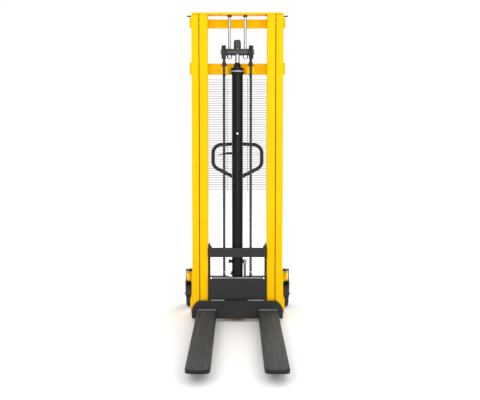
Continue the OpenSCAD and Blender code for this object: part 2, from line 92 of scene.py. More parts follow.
def mm(*pairs):
    """Pairs of lengths given in millimetres, such as the points of a profile."""
    return [(a * MM, b * MM) for a, b in pairs]

# ---- Materials ----


class Shader:
    """A Principled material with short calls for the nodes that vary its surface."""

    def __init__(self, name, metallic=0.0, roughness=0.5, specular=0.5):
        self.material = bpy.data.materials.new(name)
        self.material.use_nodes = True
        self.tree = self.material.node_tree
        self.tree.nodes.clear()
        self.bsdf = self.tree.nodes.new("ShaderNodeBsdfPrincipled")
        output = self.tree.nodes.new("ShaderNodeOutputMaterial")
        self.tree.links.new(self.bsdf.outputs["BSDF"], output.inputs["Surface"])
        self.bsdf.inputs["Metallic"].default_value = metallic
        self.bsdf.inputs["Roughness"].default_value = roughness
        self.bsdf.inputs["Specular IOR Level"].default_value = specular
        self.place = self.tree.nodes.new("ShaderNodeTexCoord").outputs["Object"]

    def link(self, source, target):
        self.tree.links.new(source, target)

    def stretched(self, scale):
        """Object coordinates stretched along the axes, for grain that runs one way."""
        node = self.tree.nodes.new("ShaderNodeMapping")
        node.inputs["Scale"].default_value = scale
        self.link(self.place, node.inputs["Vector"])
        return node.outputs["Vector"]

    def noise(self, scale, detail=3.0, where=None):
        node = self.tree.nodes.new("ShaderNodeTexNoise")
        node.inputs["Scale"].default_value = scale
        node.inputs["Detail"].default_value = detail
        self.link(where or self.place, node.inputs["Vector"])
        return node.outputs["Fac"]

    def level(self, value, low, high, to_low=0.0, to_high=1.0):
        """value mapped from low..high to to_low..to_high, clamped."""
        node = self.tree.nodes.new("ShaderNodeMapRange")
        for key, number in (("From Min", low), ("From Max", high), ("To Min", to_low), ("To Max", to_high)):
            node.inputs[key].default_value = number
        self.link(value, node.inputs["Value"])
        return node.outputs["Result"]

    def maths(self, operation, a, b):
        node = self.tree.nodes.new("ShaderNodeMath")
        node.operation = operation
        for socket, value in zip(node.inputs, (a, b)):
            if isinstance(value, (int, float)):
                socket.default_value = value
            else:
                self.link(value, socket)
        return node.outputs["Value"]

    def mix(self, amount, a, b):
        """Colour between a and b. Several sockets share a name, so the colour ones go by number."""
        node = self.tree.nodes.new("ShaderNodeMix")
        node.data_type = "RGBA"
        self.link(amount, node.inputs["Factor"])
        colour_a, colour_b, result = node.inputs[6], node.inputs[7], node.outputs[2]
        for socket, value in ((colour_a, a), (colour_b, b)):
            if isinstance(value, tuple):
                socket.default_value = (*value, 1.0)
            else:
                self.link(value, socket)
        return result

    def edges(self, radius):
        """1 on sharp outside edges, 0 on faces: how far a rounded normal turns from the true one."""
        rounded = self.tree.nodes.new("ShaderNodeBevel")
        rounded.samples = 4
        rounded.inputs["Radius"].default_value = radius
        true = self.tree.nodes.new("ShaderNodeNewGeometry").outputs["Normal"]
        dot = self.tree.nodes.new("ShaderNodeVectorMath")
        dot.operation = "DOT_PRODUCT"
        self.link(rounded.outputs["Normal"], dot.inputs[0])
        self.link(true, dot.inputs[1])
        return self.level(dot.outputs["Value"], 0.98, 0.78)

    def recesses(self, reach):
        """1 in gaps and corners narrower than about reach, 0 on open faces: the mask of the painted shade in
        the gaps.
        """
        node = self.tree.nodes.new("ShaderNodeAmbientOcclusion")
        node.samples = 6
        node.inputs["Distance"].default_value = reach
        return self.level(node.outputs["AO"], 0.62, 0.12)

    def colour(self, value):
        self.link(value, self.bsdf.inputs["Base Color"])

    def roughness(self, value):
        self.link(value, self.bsdf.inputs["Roughness"])

    def bump(self, height, distance):
        node = self.tree.nodes.new("ShaderNodeBump")
        node.inputs["Distance"].default_value = distance
        self.link(height, node.inputs["Height"])
        self.link(node.outputs["Normal"], self.bsdf.inputs["Normal"])


def paint(name, base, shade, bare, roughness=0.40, specular=0.10, peel=0.00015, worn=0.35, gap_shade=None):
    """Sprayed enamel: faint clouds in the colour, orange peel, a little wear along the edges and, where a gap
    colour is given, painted shade darkening the gaps and corners towards it."""
    s = Shader(name, roughness=roughness, specular=specular)
    clouds = s.level(s.noise(3.5, 4), 0.35, 0.7)
    body = s.mix(clouds, base, shade)
    if gap_shade:
        # Painted shade: ambient occlusion darkens the gaps and corners towards the given colour.
        body = s.mix(s.maths("MULTIPLY", s.recesses(80 * MM), 0.8), body, gap_shade)
    chips = s.level(s.noise(90, 6), 0.55, 0.62)
    wear = s.maths("MULTIPLY", s.maths("MULTIPLY", s.edges(2.5 * MM), chips), worn)
    s.colour(s.mix(wear, body, bare))
    s.roughness(s.level(s.noise(14, 5), 0.3, 0.7, roughness - 0.06, roughness + 0.1))
    s.bump(s.noise(420, 2), peel)
    return s.material


def scuffed_lit_top(name, top, top_shade, side, bare):
    """Fork enamel: painted light and shade, lighter on the upward faces and darker on the sides; the upward
    faces are also duller where pallets rub, with drag marks along them.
    """
    s = Shader(name, roughness=0.5, specular=0.12)
    parts = s.tree.nodes.new("ShaderNodeSeparateXYZ")
    s.link(s.tree.nodes.new("ShaderNodeNewGeometry").outputs["Normal"], parts.inputs["Vector"])
    upward_lit = s.level(parts.outputs["Z"], 0.55, 0.97)
    drag = s.level(s.noise(1.0, 5, s.stretched((160, 3, 3))), 0.52, 0.68)
    clouded = s.mix(s.level(s.noise(7, 5), 0.3, 0.7), top, top_shade)
    rubbed = s.mix(s.maths("MULTIPLY", drag, 0.28), clouded, bare)
    chips = s.maths("MULTIPLY", s.edges(2.5 * MM), s.level(s.noise(90, 6), 0.5, 0.62))
    # Painted light and shade: the upward faces take the lighter top colour and the sides the dark side
    # colour; drag marks and chipped edges are wear.
    s.colour(s.mix(s.maths("MULTIPLY", chips, 0.7), s.mix(upward_lit, side, rubbed), bare))
    s.roughness(s.level(upward_lit, 0.0, 1.0, 0.42, 0.6))
    s.bump(s.noise(420, 2), 0.0002)
    return s.material


def machined(name, base, shade, roughness=0.3, grain=(8, 600, 600), metallic=1.0, bump=0.00004):
    """Turned or ground steel, its tool marks running across the long side of the grain."""
    s = Shader(name, metallic=metallic, roughness=roughness)
    marks = s.noise(1.0, 4, s.stretched(grain))
    s.colour(s.mix(s.level(s.noise(18, 4), 0.3, 0.75), base, shade))
    s.roughness(s.level(marks, 0.3, 0.7, roughness - 0.08, roughness + 0.14))
    s.bump(marks, bump)
    return s.material


def moulded(name, base, shade, roughness=0.55):
    """Rubber, nylon or cast tread: matt, with a fine skin texture and faint blotches."""
    s = Shader(name, roughness=roughness, specular=0.4)
    s.colour(s.mix(s.level(s.noise(22, 4), 0.3, 0.7), base, shade))
    s.roughness(s.level(s.noise(60, 4), 0.3, 0.7, roughness - 0.08, roughness + 0.1))
    s.bump(s.noise(700, 3), 0.0001)
    return s.material


def hose_cover(name):
    """Grey rubber hose with the wrapped cloth pattern pressed into it."""
    s = Shader(name, roughness=0.6, specular=0.35)
    wrap = s.tree.nodes.new("ShaderNodeTexWave")
    wrap.bands_direction = "DIAGONAL"
    wrap.inputs["Scale"].default_value = 260
    wrap.inputs["Distortion"].default_value = 0.6
    s.link(s.place, wrap.inputs["Vector"])
    s.colour(s.mix(s.level(s.noise(30, 4), 0.3, 0.7), (0.20, 0.205, 0.21), (0.13, 0.135, 0.14)))
    s.bump(wrap.outputs["Fac"], 0.00025)
    return s.material


# The brown given last to the yellow enamels is painted shade for the gaps between their parts.
YELLOW = paint("yellow_enamel", (0.92, 0.50, 0.0), (0.90, 0.465, 0.0), (0.60, 0.33, 0.02),
               specular=0.05, worn=0.25, gap_shade=(0.16, 0.06, 0.0))
# A lighter, more lemon copy of the yellow enamel: painted light for the base, whose side covers sit in the
# shade of the posts.
LIT_BASE_YELLOW = paint("base_enamel_painted_light", (0.95, 0.56, 0.01), (0.93, 0.52, 0.01), (0.60, 0.33, 0.02),
                    specular=0.05, worn=0.25, gap_shade=(0.16, 0.06, 0.0))
# A more orange copy of the same yellow enamel: painted shade for the crossmembers, ties and chain anchors
# behind the posts, and for their welds.
SHADED_YELLOW = paint("yellow_enamel_painted_shade", (0.95, 0.50, 0.0), (0.92, 0.43, 0.0), (0.60, 0.30, 0.02),
              specular=0.05, worn=0.25)
CHARCOAL = paint("charcoal_enamel", (0.025, 0.025, 0.026), (0.020, 0.020, 0.021), (0.20, 0.20, 0.20),
                 roughness=0.45, specular=0.22, worn=0.7)
# Lighter top colours and a near-black side colour: painted light on the upward faces and painted shade on the
# sides.
FORK = scuffed_lit_top("fork_enamel_painted_light", (0.044, 0.047, 0.048), (0.034, 0.037, 0.038), (0.015, 0.016, 0.016),
               (0.19, 0.20, 0.20))
CAST = paint("cast_yoke", (0.034, 0.036, 0.034), (0.020, 0.021, 0.020), (0.20, 0.20, 0.20),
             roughness=0.30, specular=0.5)
BLACK = paint("black_powder_coat", (0.012, 0.012, 0.0125), (0.008, 0.008, 0.0085), (0.14, 0.14, 0.14),
              roughness=0.32, specular=0.22, peel=0.0002)
BARREL = paint("barrel_enamel", (0.006, 0.006, 0.0065), (0.004, 0.004, 0.0045), (0.10, 0.10, 0.10),
               roughness=0.24, specular=0.16)
STEEL = machined("ground_steel", (0.46, 0.47, 0.48), (0.36, 0.37, 0.38))
CHAIN = machined("oiled_chain", (0.038, 0.039, 0.041), (0.022, 0.022, 0.024), roughness=0.45,
                 grain=(300, 300, 300), metallic=0.7)
CHROME = machined("hard_chrome", (0.40, 0.41, 0.42), (0.32, 0.33, 0.34), roughness=0.22,
                  grain=(500, 500, 12), bump=0.00001)
ZINC = machined("zinc_plate", (0.48, 0.47, 0.44), (0.34, 0.33, 0.31), roughness=0.34,
                grain=(120, 120, 120))
BRIGHT = machined("bright_zinc", (0.92, 0.92, 0.90), (0.84, 0.84, 0.82), roughness=0.3,
                  grain=(150, 150, 150))
BEAD = machined("bare_weld", (0.40, 0.40, 0.40), (0.27, 0.27, 0.27), roughness=0.45,
                grain=(200, 200, 200), metallic=0.5)
WIRE = paint("coated_wire", (0.12, 0.12, 0.122), (0.09, 0.09, 0.092), (0.3, 0.3, 0.3), specular=0.2, worn=0.1)
NYLON = moulded("cast_nylon", (0.70, 0.66, 0.54), (0.60, 0.56, 0.45), roughness=0.42)
TREAD = moulded("dark_tread", (0.026, 0.026, 0.027), (0.018, 0.018, 0.019))
HUB = moulded("grey_hub", (0.30, 0.305, 0.31), (0.23, 0.235, 0.24), roughness=0.45)
HOSE = hose_cover("hose_cover")

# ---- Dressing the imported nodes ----

NODE_LOOKS = {
    YELLOW: ("mast_channel_left mast_channel_right inner_section_left inner_section_right "
             "mast_top_plate"),
    LIT_BASE_YELLOW: "base_frame",
    SHADED_YELLOW: "crossmember_top crossmember_upper crossmember_lower inner_lower_tie chain_anchors",
    CHARCOAL: ("leg_left leg_right carriage_plate_left carriage_plate_right carriage_top_bar apron "
               "fork_frame"),
    CAST: "yoke yoke_cap chain_pulleys",
    BLACK: ("sling_pegs chain_clevises pump_body oil_tank foot_guard_left "
            "foot_guard_right caster_fork_left caster_fork_right brake_pedal_left brake_pedal_right "
            "tiller"),
    BARREL: "cylinder_barrel cylinder_head",
    STEEL: ("top_roller_pins load_roller_axles tiller_pin inner_roller_pins carriage_roller_pins "
            "carriage_rollers_upper carriage_rollers_lower inner_mast_rollers outer_mast_rollers"),
    CHAIN: "chain_bolts",
    CHROME: "tie_rods piston_rod pump_ram",
    NYLON: "load_roller_left load_roller_right",
    TREAD: "caster_wheel_left caster_wheel_right",
}
# Widths of the rounded edges, in millimetres.
EDGE_WIDTHS = {"mast_channel_left": 3.0, "mast_channel_right": 3.0, "inner_section_left": 3.0,
               "inner_section_right": 3.0, "fork_frame": 3.0, "apron": 1.2, "carriage_top_bar": 2.0,
               "leg_left": 2.0, "leg_right": 2.0, "mast_top_plate": 3.5, "base_frame": 1.5}
USUAL_EDGE = 1.0


def dress(node, material):
    """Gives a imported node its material, and rounds its edges with modifiers that leave its mesh alone."""
    piece = frame["nodes"][node]
    mesh = piece.data
    if "custom_normal" in mesh.attributes:
        mesh.attributes.remove(mesh.attributes["custom_normal"])
    mesh.materials.clear()
    mesh.materials.append(material)
    mesh.shade_smooth()
    weld = piece.modifiers.new("weld", "WELD")
    weld.merge_threshold = 0.01 * MM
    flat = piece.modifiers.new("flat", "DECIMATE")
    flat.decimate_type = "DISSOLVE"
    flat.angle_limit = math.radians(0.5)
    edge = piece.modifiers.new("edge", "BEVEL")
    edge.width = EDGE_WIDTHS.get(node, USUAL_EDGE) * MM
    edge.segments = 2
    edge.limit_method = "ANGLE"
    edge.angle_limit = math.radians(38)
    edge.use_clamp_overlap = True
    edge.harden_normals = False
    normals = piece.modifiers.new("normals", "WEIGHTED_NORMAL")
    normals.keep_sharp = True
    return piece


for look, names in NODE_LOOKS.items():
    for node_name in names.split():
        dress(node_name, look)

# ---- Mesh building ----


class Build:
    """Collects solids into one mesh, each with its material's slot."""

    def __init__(self):
        self.points, self.faces, self.slots, self.materials = [], [], [], []

    def add(self, points, faces, material):
        if material not in self.materials:
            self.materials.append(material)
        first = len(self.points)
        self.points.extend(points)
        self.faces.extend([tuple(first + i for i in face) for face in faces])
        self.slots.extend([self.materials.index(material)] * len(faces))

    def piece(self, name, body, slot, smooth=35):
        mesh = bpy.data.meshes.new(name)
        mesh.from_pydata([tuple(p) for p in self.points], [], self.faces)
        for material in self.materials:
            mesh.materials.append(material)
        mesh.polygons.foreach_set("material_index", self.slots)
        work = bmesh.new()
        work.from_mesh(mesh)
        bmesh.ops.recalc_face_normals(work, faces=work.faces)
        work.to_mesh(mesh)
        work.free()
        mesh.shade_smooth()
        mesh.set_sharp_from_angle(angle=math.radians(smooth))
        made = bpy.data.objects.new(name, mesh)
        scene.collection.objects.link(made)
        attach(made, body)
        return made


def ring(centre, u, v, radius, sides):
    """Points of a circle around centre in the plane of u and v."""
    return [centre + radius * (math.cos(a) * u + math.sin(a) * v)
            for a in (2 * math.pi * k / sides for k in range(sides))]


def loft(build, rings, material, closed=False):
    """Skin over rings of equal size, capped at both ends unless it closes on itself."""
    n = len(rings[0])
    points = [p for r in rings for p in r]
    count = len(rings)
    faces = [(i * n + k, i * n + (k + 1) % n, (i + 1) % count * n + (k + 1) % n, (i + 1) % count * n + k)
             for i in range(count if closed else count - 1) for k in range(n)]
    if not closed:
        faces.append(tuple(reversed(range(n))))
        faces.append(tuple((count - 1) * n + k for k in range(n)))
    build.add(points, faces, material)


def across(direction):
    """Two unit vectors square to a direction."""
    d = direction.normalized()
    u = d.cross(Z if abs(d.z) < 0.9 else X).normalized()
    return u, d.cross(u)


def tube(build, path, radius, material, sides=12, closed=False, wave=0.0, wave_length=1.0):
    """Round bar along a path. A wave makes the radius swell and shrink along it, like a weld bead."""
    count = len(path)
    u = None
    rings, travelled = [], 0.0
    for i, point in enumerate(path):
        before = path[i - 1] if i or closed else point
        after = path[(i + 1) % count] if i < count - 1 or closed else point
        along = (after - before).normalized()
        u = across(along)[0] if u is None else (u - along * u.dot(along)).normalized()
        travelled += (point - path[i - 1]).length if i else 0.0
        swell = 1 + wave * math.sin(2 * math.pi * travelled / wave_length)
        rings.append(ring(point, u, along.cross(u), radius * swell, sides))
    loft(build, rings, material, closed=closed)


def lathe(build, centre, axis, profile, material, sides=32):
    """Profile of (distance along axis, radius) turned around the axis through centre. A radius of 0 is a
    very small circle."""
    u, v = across(axis)
    smallest = 1e-5
    rings = [ring(centre + axis * along, u, v, max(radius, smallest), sides) for along, radius in profile]
    loft(build, rings, material)


def bar(build, low, high, material, edge=0.8 * MM):
    """Block with chamfered edges between two corners."""
    low, high = Vector(low), Vector(high)
    centre, half = (low + high) / 2, (high - low) / 2
    edge = min(edge, *(0.4 * h for h in half))
    rings = []
    for z, inset in ((-half.z, edge), (-half.z + edge, 0), (half.z - edge, 0), (half.z, edge)):
        hx, hy = half.x - inset, half.y - inset
        rings.append([centre + Vector(p) for p in (
            (-hx, -hy + edge, z), (-hx + edge, -hy, z), (hx - edge, -hy, z), (hx, -hy + edge, z),
            (hx, hy - edge, z), (hx - edge, hy, z), (-hx + edge, hy, z), (-hx, hy - edge, z))])
    loft(build, rings, material)


def hex_head(build, foot, axis, flats, height, material):
    """Hexagon head or nut standing on foot, its top corners turned off."""
    u, v = across(axis)
    reach = flats / math.sqrt(3)

    def outline(rise, limit):
        points = []
        for k in range(24):
            a = 2 * math.pi * k / 24
            wedge = (a + math.pi / 6) % (math.pi / 3) - math.pi / 6
            radius = min(flats / 2 / math.cos(wedge), limit)
            points.append(foot + axis * rise + radius * (math.cos(a) * u + math.sin(a) * v))
        return points

    loft(build, [outline(0, reach), outline(height * 0.82, reach), outline(height, flats / 2 * 0.98)],
         material)


def bolt(build, foot, axis, flats, material, washer=True):
    """Hexagon head or nut, standing on its washer."""
    seat = foot
    if washer:
        thick = 0.12 * flats
        lathe(build, seat, axis, [(0, flats * 0.62), (0, flats * 0.78), (thick * 0.8, flats * 0.78),
                                  (thick, flats * 0.74), (thick, 0)], material, 24)
        seat = seat + axis * thick
    hex_head(build, seat, axis, flats, 0.55 * flats, material)


def cap_screw(build, foot, axis, radius, material):
    """Domed screw head with a hexagon socket."""
    profile = [(0, radius), (0.25 * radius, radius), (0.6 * radius, 0.85 * radius),
               (0.75 * radius, 0.6 * radius), (0.78 * radius, 0.48 * radius), (0.35 * radius, 0.44 * radius),
               (0.35 * radius, 0.0)]
    lathe(build, foot, axis, profile, material, 24)


def weld(build, start, end, size, material):
    """Straight weld bead with its ripples."""
    start, end = Vector(start), Vector(end)
    ripple = 6.4 * MM
    steps = max(4, int((end - start).length / (ripple / 4)))
    path = [start.lerp(end, k / steps) for k in range(steps + 1)]
    tube(build, path, size, material, sides=8, wave=0.1, wave_length=ripple)


# ---- Leaf chains ----

LINK_PITCH = 13.6 * MM
LINK_PLATES = 7
CHAIN_X = 90 * MM
CHAIN_W = 17 * MM
PLATE_H = 12.8 * MM
CHAIN_RADIUS = 40 * MM
WRAP_LINKS = 9


def link_plate(build, low, high, index):
    """One figure-of-eight plate between two pins."""
    thick = CHAIN_W / LINK_PLATES
    x = -CHAIN_W / 2 + index * thick
    slack = 0.08 * MM
    along = (high - low).normalized()
    side = along.cross(X)
    r = PLATE_H / 2
    turns = [math.radians(a) for a in (-90, -60, -30, 0, 30, 60, 90)]
    outline = [high + r * (math.cos(a) * along + math.sin(a) * side) for a in turns]
    outline.append((low + high) / 2 + 0.9 * r * side)
    outline += [low - r * (math.cos(a) * along + math.sin(a) * side) for a in turns]
    outline.append((low + high) / 2 - 0.9 * r * side)
    faces = [[p + X * face_x for p in outline] for face_x in (x + slack, x + thick - slack)]
    loft(build, faces, CHAIN)


def chain_run(build, pins):
    """Leaf chain through the pins, its plates laced four and three."""
    for i in range(len(pins) - 1):
        for index in range(i % 2, LINK_PLATES, 2):
            link_plate(build, pins[i], pins[i + 1], index)
    end_r, pin_r, chamfer = 1.6 * MM, 2.5 * MM, 0.5 * MM
    length = CHAIN_W + 0.8 * MM
    profile = [(0, end_r), (chamfer, pin_r), (length - chamfer, pin_r), (length, end_r)]
    for pin in pins:
        lathe(build, pin - X * length / 2, X, profile, CHAIN, 10)


def both_chains(pins):
    build = Build()
    for x in (-CHAIN_X, CHAIN_X):
        chain_run(build, [p + X * x for p in pins])
    return build


def evenly(start, end):
    count = max(1, round((end - start).length / LINK_PITCH))
    return [start.lerp(end, k / count) for k in range(count + 1)]


front_y, back_y = MAST_Y - CHAIN_RADIUS, MAST_Y + CHAIN_RADIUS
first_pin = 6 * MM
front_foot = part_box("chain_front_runs")[0].z + first_pin
back_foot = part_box("chain_back_runs")[0].z + first_pin
STROKE = [j for j in frame["joints"] if j["name"] == "mast_lift"][0]["range_m"][1]

front = both_chains(evenly(Vector((0, front_y, front_foot)), Vector((0, front_y, PULLEY_Z))))
front = front.piece("chain_front_links", "carriage", "chain_steel")
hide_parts("chain_front_runs")
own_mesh(front)

half_turn = [Vector((0, MAST_Y - CHAIN_RADIUS * math.cos(a), PULLEY_Z + CHAIN_RADIUS * math.sin(a)))
             for a in (math.pi * k / WRAP_LINKS for k in range(WRAP_LINKS + 1))]
wraps = both_chains(half_turn).piece("chain_wrap_links", "inner_mast", "chain_steel")
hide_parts("chain_wraps")

back = both_chains(evenly(Vector((0, back_y, back_foot)), Vector((0, back_y, PULLEY_Z))))
back = back.piece("chain_back_links", "chassis", "chain_steel")
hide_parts("chain_back_runs")


def paid_out_chain():
    """The chain that shows behind the mast when it is raised. At rest it is packed inside the short back
    run, each point where the blend between the bodies will carry it to its true place at full lift."""
    build = both_chains(evenly(Vector((0, back_y, back_foot)), Vector((0, back_y, PULLEY_Z + STROKE))))
    samples = 4001
    share = np.linspace(0, 1, samples)
    packed = back_foot + share * (PULLEY_Z - back_foot)
    lifted = packed + STROKE * share * share * (3 - 2 * share)
    thin = 0.8
    moved = []
    for p in build.points:
        x_mid = math.copysign(CHAIN_X, p.x)
        z = float(np.interp(p.z, lifted, packed))
        moved.append(Vector((x_mid + thin * (p.x - x_mid), back_y + thin * (p.y - back_y), z)))
    build.points = moved
    mesh = bpy.data.meshes.new("chain_paid_out_links")
    mesh.from_pydata([tuple(p) for p in build.points], [], build.faces)
    mesh.materials.append(CHAIN)
    mesh.shade_flat()
    piece = bpy.data.objects.new("chain_paid_out_links", mesh)
    scene.collection.objects.link(piece)
    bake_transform(piece)


paid_out_chain()

# ---- Forks ----

FORK_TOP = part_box("fork_right")[1].z
FORK_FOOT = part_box("fork_right")[0].z
FORK_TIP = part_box("fork_right")[0].y
FORK_X = (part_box("fork_right")[0].x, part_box("fork_right")[1].x)
FORK_TOE = FORK_TIP + 150 * MM
SHELL, SKIRT = 8 * MM, 6 * MM


def fork_outline(side, inset):
    """Plan of a fork from the heel round its rounded tip and back, as an open line of points."""
    corner = 44 * MM - inset
    x0, x1 = FORK_X[0] + inset, FORK_X[1] - inset
    tip = FORK_TIP + inset
    stations = (LOAD_FACE, FORK_TOE + 400 * MM, FORK_TOE, FORK_TOE - 50 * MM)
    line = [(x0, y) for y in stations]
    for cx, start in ((x0 + corner, 180), (x1 - corner, 270)):
        for k in range(9):
            a = math.radians(start + 11.25 * k)
            line.append((cx + corner * math.cos(a), tip + corner + corner * math.sin(a)))
    line += [(x1, y) for y in reversed(stations)]
    return [(side * x, y) for x, y in line]


def fork_shell(side, name, node):
    """Pressed shell with a rolled top edge, open underneath and at the heel, its tip tapering."""
    tip_foot = FORK_TOP - 21 * MM

    def foot(y, lift):
        rise = min(max((FORK_TOE - y) / (FORK_TOE - FORK_TIP), 0), 1)
        return FORK_FOOT + rise * (tip_foot - FORK_FOOT) + lift

    roll, lip = 8 * MM, 1.2 * MM
    lines = [[Vector((x, y, FORK_TOP - SHELL)) for x, y in fork_outline(side, SKIRT)],
             [Vector((x, y, foot(y, lip))) for x, y in fork_outline(side, SKIRT)],
             [Vector((x, y, foot(y, 0))) for x, y in fork_outline(side, SKIRT - lip)],
             [Vector((x, y, foot(y, 0))) for x, y in fork_outline(side, lip)],
             [Vector((x, y, foot(y, lip))) for x, y in fork_outline(side, 0)]]
    for k in range(6):
        a = math.radians(18 * k)
        lines.append([Vector((x, y, FORK_TOP - roll + roll * math.sin(a)))
                      for x, y in fork_outline(side, roll * (1 - math.cos(a)))])
    n = len(lines[0])
    faces = [(i * n + k, i * n + k + 1, (i + 1) * n + k + 1, (i + 1) * n + k)
             for i in range(len(lines) - 1) for k in range(n - 1)]
    last = (len(lines) - 1) * n
    one_end = [i * n for i in range(len(lines))]
    other_end = [i * n + n - 1 for i in reversed(range(len(lines)))]
    faces += [tuple(range(n)), tuple(last + k for k in range(n)), tuple(one_end + other_end)]
    build = Build()
    build.add([p for line in lines for p in line], faces, FORK)
    piece = build.piece(name, "carriage", "charcoal_paint", smooth=50)
    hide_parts(node)


fork_shell(-1, "fork_shell_left", "fork_left")
fork_shell(1, "fork_shell_right", "fork_right")

# ---- Mesh guard ----


def mesh_guard():
    low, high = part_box("mesh_guard")
    build = Build()
    wire_r, pitch = 1.25 * MM, 16 * MM
    bar_w, bar_t = 16 * MM, 5 * MM
    bar_x = POST_X - 22 * MM
    bolts, bolt_margin = 4, 30 * MM
    first_wire, wire_margin = 13.5 * MM, 24 * MM
    y = low.y + bar_t + wire_r
    for x in (-bar_x, bar_x):
        bar(build, (x - bar_w / 2, low.y, low.z), (x + bar_w / 2, low.y + bar_t, high.z), BLACK)
        for k in range(bolts):
            z = low.z + bolt_margin + k * (high.z - low.z - 2 * bolt_margin) / (bolts - 1)
            bolt(build, Vector((x, y, z)), Y, 8 * MM, ZINC)
    count = int((high.z - low.z - wire_margin) / pitch)
    for i in range(count + 1):
        z = low.z + first_wire + i * pitch
        tube(build, [Vector((low.x, y, z)), Vector((high.x, y, z))], wire_r, WIRE, sides=8)
    back = y + 1.9 * wire_r
    for x in (-210 * MM, -70 * MM, 70 * MM, 210 * MM):
        tube(build, [Vector((x, back, low.z)), Vector((x, back, high.z))], wire_r, WIRE, sides=8)
    piece = build.piece("mesh_guard_wires", "chassis", "wire_coat")
    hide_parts("mesh_guard")


mesh_guard()

# ---- Mast ----


def mast_welds():
    """Beads where the crossmembers wrap the channels and where the base meets them."""
    build = Build()
    thin, usual, thick = 2.5 * MM, 3 * MM, 3.5 * MM
    wrap_y, foot_y, rear_y = LOAD_FACE + 57 * MM, LOAD_FACE + 39 * MM, MAST_BACK + 2 * MM
    foot_top = 151 * MM
    for side in (-1, 1):
        x = side * (POST_X + 1 * MM)
        for node in ("crossmember_top", "crossmember_upper"):
            low, high = (corner.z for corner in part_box(node))
            weld(build, (x, wrap_y, low), (x, wrap_y, high), usual, SHADED_YELLOW)
            for z in (low - 0.5 * MM, high + 0.5 * MM):
                weld(build, (x, wrap_y, z), (x, MAST_BACK, z), thin, SHADED_YELLOW)
        weld(build, (x, foot_y, 97 * MM), (x, foot_y, 148 * MM), thick, YELLOW)
        weld(build, (x, foot_y + 5 * MM, foot_top), (x, MAST_BACK, foot_top), thin, YELLOW)
        for z in (180 * MM, 250 * MM):
            weld(build, (side * 262 * MM, rear_y, z), (side * 304 * MM, rear_y, z), usual, YELLOW)
        for seam_x, near, far, z in ((60, 37, 212, 56), (95, 268, 458, 38)):
            weld(build, at(side * seam_x, near, z), at(side * seam_x, far, z), thin, YELLOW)
    build.piece("mast_welds", "chassis", "yellow_paint", smooth=60)


def top_plate_details():
    """Black nuts under the top plate, the rod ends through it, and the welds along its sides."""
    build = Build()
    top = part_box("mast_top_plate")[1].z
    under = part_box("mast_top_plate")[0].z
    tie_x, half = 53 * MM, 48 * MM
    for side in (-1, 1):
        foot = Vector((side * tie_x, MAST_Y, under))
        hex_head(build, foot, -Z, 24.6 * MM, 14.4 * MM, BLACK)
        rod_end = Vector((side * tie_x, MAST_Y, top - 1 * MM))
        lathe(build, rod_end, Z, mm((0, 9.5), (2.5, 9.5), (4, 7.5), (4, 0)), ZINC, 24)
        for y in (MAST_Y - half, MAST_Y + half):
            start, end = [Vector((side * x * MM, y, under - 0.5 * MM)) for x in (201, 253)]
            weld(build, start, end, 2 * MM, YELLOW)
    build.piece("top_plate_nuts", "inner_mast", "black_paint")


def yoke_details():
    """Retaining rings on the pulley stubs, seams round the yoke and the ridges of its cap."""
    build = Build()
    for side in (-1, 1):
        profile = mm((0, 12), (0, 16), (2, 16), (2.6, 15), (2.6, 12.6), (1.6, 12.4), (1.6, 5), (4, 4), (4, 0))
        lathe(build, Vector((side * 111 * MM, MAST_Y, PULLEY_Z)), X * side, profile, ZINC, 28)
        circle = ring(Vector((side * 75 * MM, MAST_Y, PULLEY_Z)), Y, Z, 22.6 * MM, 40)
        tube(build, circle, 1.6 * MM, BLACK, sides=8, closed=True)
    for z in (1858, 1867, 1876, 1885, 1894):
        circle = ring(Vector((0, MAST_Y, z * MM)), X, Y, 24.8 * MM, 40)
        tube(build, circle, 1.0 * MM, BLACK, sides=8, closed=True)
    build.piece("yoke_rings", "inner_mast", "black_paint")


def cylinder_details():
    """Light ring and wiper on the head, bleed screw and clip."""
    build = Build()
    head_r = 43.5
    groove = mm((0, head_r), (0.6, head_r + 1.7), (8.4, head_r + 1.7), (9, head_r))
    rim = mm((0, head_r), (1.5, head_r + 0.8), (3, head_r))
    wiper = mm((0, 16.2), (0, 19), (2.5, 18.6), (5, 16.6), (5, 16.2))
    head_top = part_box("cylinder_head")[1].z
    for z, profile, material, sides in ((1698 * MM, groove, BEAD, 48), (1722 * MM, rim, BARREL, 48),
                                        (head_top - 1 * MM, wiper, BLACK, 40)):
        lathe(build, Vector((0, MAST_Y, z)), Z, profile, material, sides)
    bleed = Vector((0, MAST_Y - BARREL_R - 2 * MM, 1284 * MM))
    bolt(build, bleed, -Y, 11 * MM, BRIGHT, washer=False)
    front, back = MAST_Y - 7 * MM, MAST_Y + 7 * MM
    for left, right, low, high in ((-49, -35, 312, 322), (-43, -34, 320, 336)):
        bar(build, (left * MM, front, low * MM), (right * MM, back, high * MM), BLACK, edge=2 * MM)
    build.piece("cylinder_rings", "chassis", "bare_steel")


def barrel_ports():
    """Plugged port on the left of the barrel, and the hose's elbow on the right."""
    build = Build()
    centre = Vector((0, MAST_Y, 405 * MM))
    lathe(build, centre + X * 36 * MM, X, mm((0, 11), (3, 11), (4, 9), (7, 9)), BARREL, 28)
    lathe(build, centre - X * 36 * MM, -X, mm((0, 12), (4, 12), (5, 10), (13, 10)), BARREL, 28)
    hex_head(build, centre - X * 48 * MM, -X, 24 * MM, 13 * MM, BLACK)
    elbow = mm((0, 7), (0, 10.5), (1.5, 12), (17, 12), (18, 11), (26, 11))
    lathe(build, Vector((51 * MM, MAST_Y, 418 * MM)), -Z, elbow, ZINC, 30)
    lathe(build, centre + X * 60 * MM, X, mm((0, 8), (2.5, 7.5), (3, 6), (3, 0)), ZINC, 24)
    piece = build.piece("barrel_ports", "chassis", "zinc_plate")
    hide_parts("hose_fittings")


